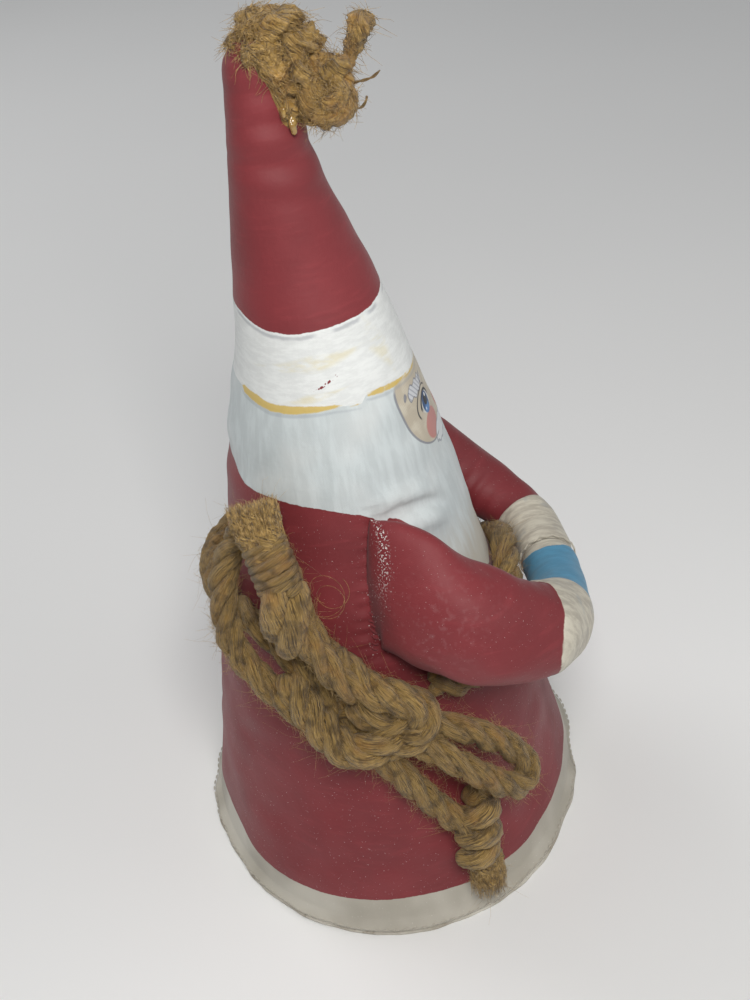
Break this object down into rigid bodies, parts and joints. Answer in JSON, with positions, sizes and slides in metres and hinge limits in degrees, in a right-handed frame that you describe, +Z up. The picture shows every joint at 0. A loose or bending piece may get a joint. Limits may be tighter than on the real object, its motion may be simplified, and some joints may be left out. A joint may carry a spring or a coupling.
{
  "type": "stuffed gnome figurine",
  "caption": "Cone-shaped stuffed gnome figurine in painted cloth, tall pointed hat, folded arms in mittens, jute rope belt tied in a bow and a jute tassel on the hat.",
  "frame": {"origin": "middle of the base, on the surface the figurine stands on", "axes": "+Z up through the hat, the figurine faces -Y, its right side is -X"},
  "size_m": [0.1136, 0.1026, 0.204],
  "materials": {
    "red_paint": "matte acrylic paint on muslin",
    "cream_cloth": "matte acrylic paint on muslin",
    "white_thread": "painted-over sewing thread",
    "blue_thread": "painted-over sewing thread",
    "cotton_thread": "cotton thread",
    "jute": "rough twisted jute",
    "filling": "soft fibre filling",
    "card": "grey cardboard",
    "pouch": "pellet-filled cloth pouch",
    "glue": "clear amber hot glue"
  },
  "bodies": {
    "torso": {"body_cover": "red_paint", "body_stuffing": "filling", "base_panel": "cream_cloth", "base_card": "card", "weight_bag": "pouch", "base_seam_thread": "cotton_thread", "right_arm_cover": "red_paint", "left_arm_cover": "red_paint", "right_arm_stuffing": "filling", "left_arm_stuffing": "filling", "right_shoulder_thread": "white_thread", "left_shoulder_thread": "white_thread", "mitten_thread": "blue_thread", "belt_rope": "jute", "bow_knot": "jute", "tassel_band": "jute", "glue_dab_front": "glue", "glue_dab_side": "glue"},
    "right_loop": {"right_bow_loop": "jute"},
    "right_tail": {"right_bow_tail": "jute", "right_tail_knot": "jute", "right_tail_tuft": "jute"},
    "left_loop": {"left_bow_loop": "jute"},
    "left_tail": {"left_bow_tail": "jute", "left_tail_knot": "jute", "left_tail_tuft": "jute"},
    "tassel": {"tassel_knot": "jute", "tassel_upper_end": "jute", "tassel_lower_end": "jute"}
  },
  "joints": [
    {"name": "right_loop_lift", "type": "hinge", "parent": "torso", "child": "right_loop", "pos_m": [-0.0527, -0.0136, 0.0532], "axis": [-0.147, 0.569, -0.8091], "range_deg": [0, 30]},
    {"name": "right_tail_lift", "type": "hinge", "parent": "torso", "child": "right_tail", "pos_m": [-0.051, 0, 0.0505], "axis": [0, 0.841, -0.541], "range_deg": [0, 35]},
    {"name": "left_loop_lift", "type": "hinge", "parent": "torso", "child": "left_loop", "pos_m": [-0.0458, 0.0097, 0.067], "axis": [-0.163, -0.7668, 0.6208], "range_deg": [0, 15]},
    {"name": "left_tail_lift", "type": "hinge", "parent": "left_loop", "child": "left_tail", "pos_m": [-0.0475, 0.0091, 0.0775], "axis": [-0.179, -0.9232, 0.3401], "range_deg": [0, 30]},
    {"name": "tassel_swing", "type": "hinge", "parent": "torso", "child": "tassel", "pos_m": [-0.001, -0.0085, 0.1925], "axis": [-1, 0, 0], "range_deg": [0, 40]}
  ]
}
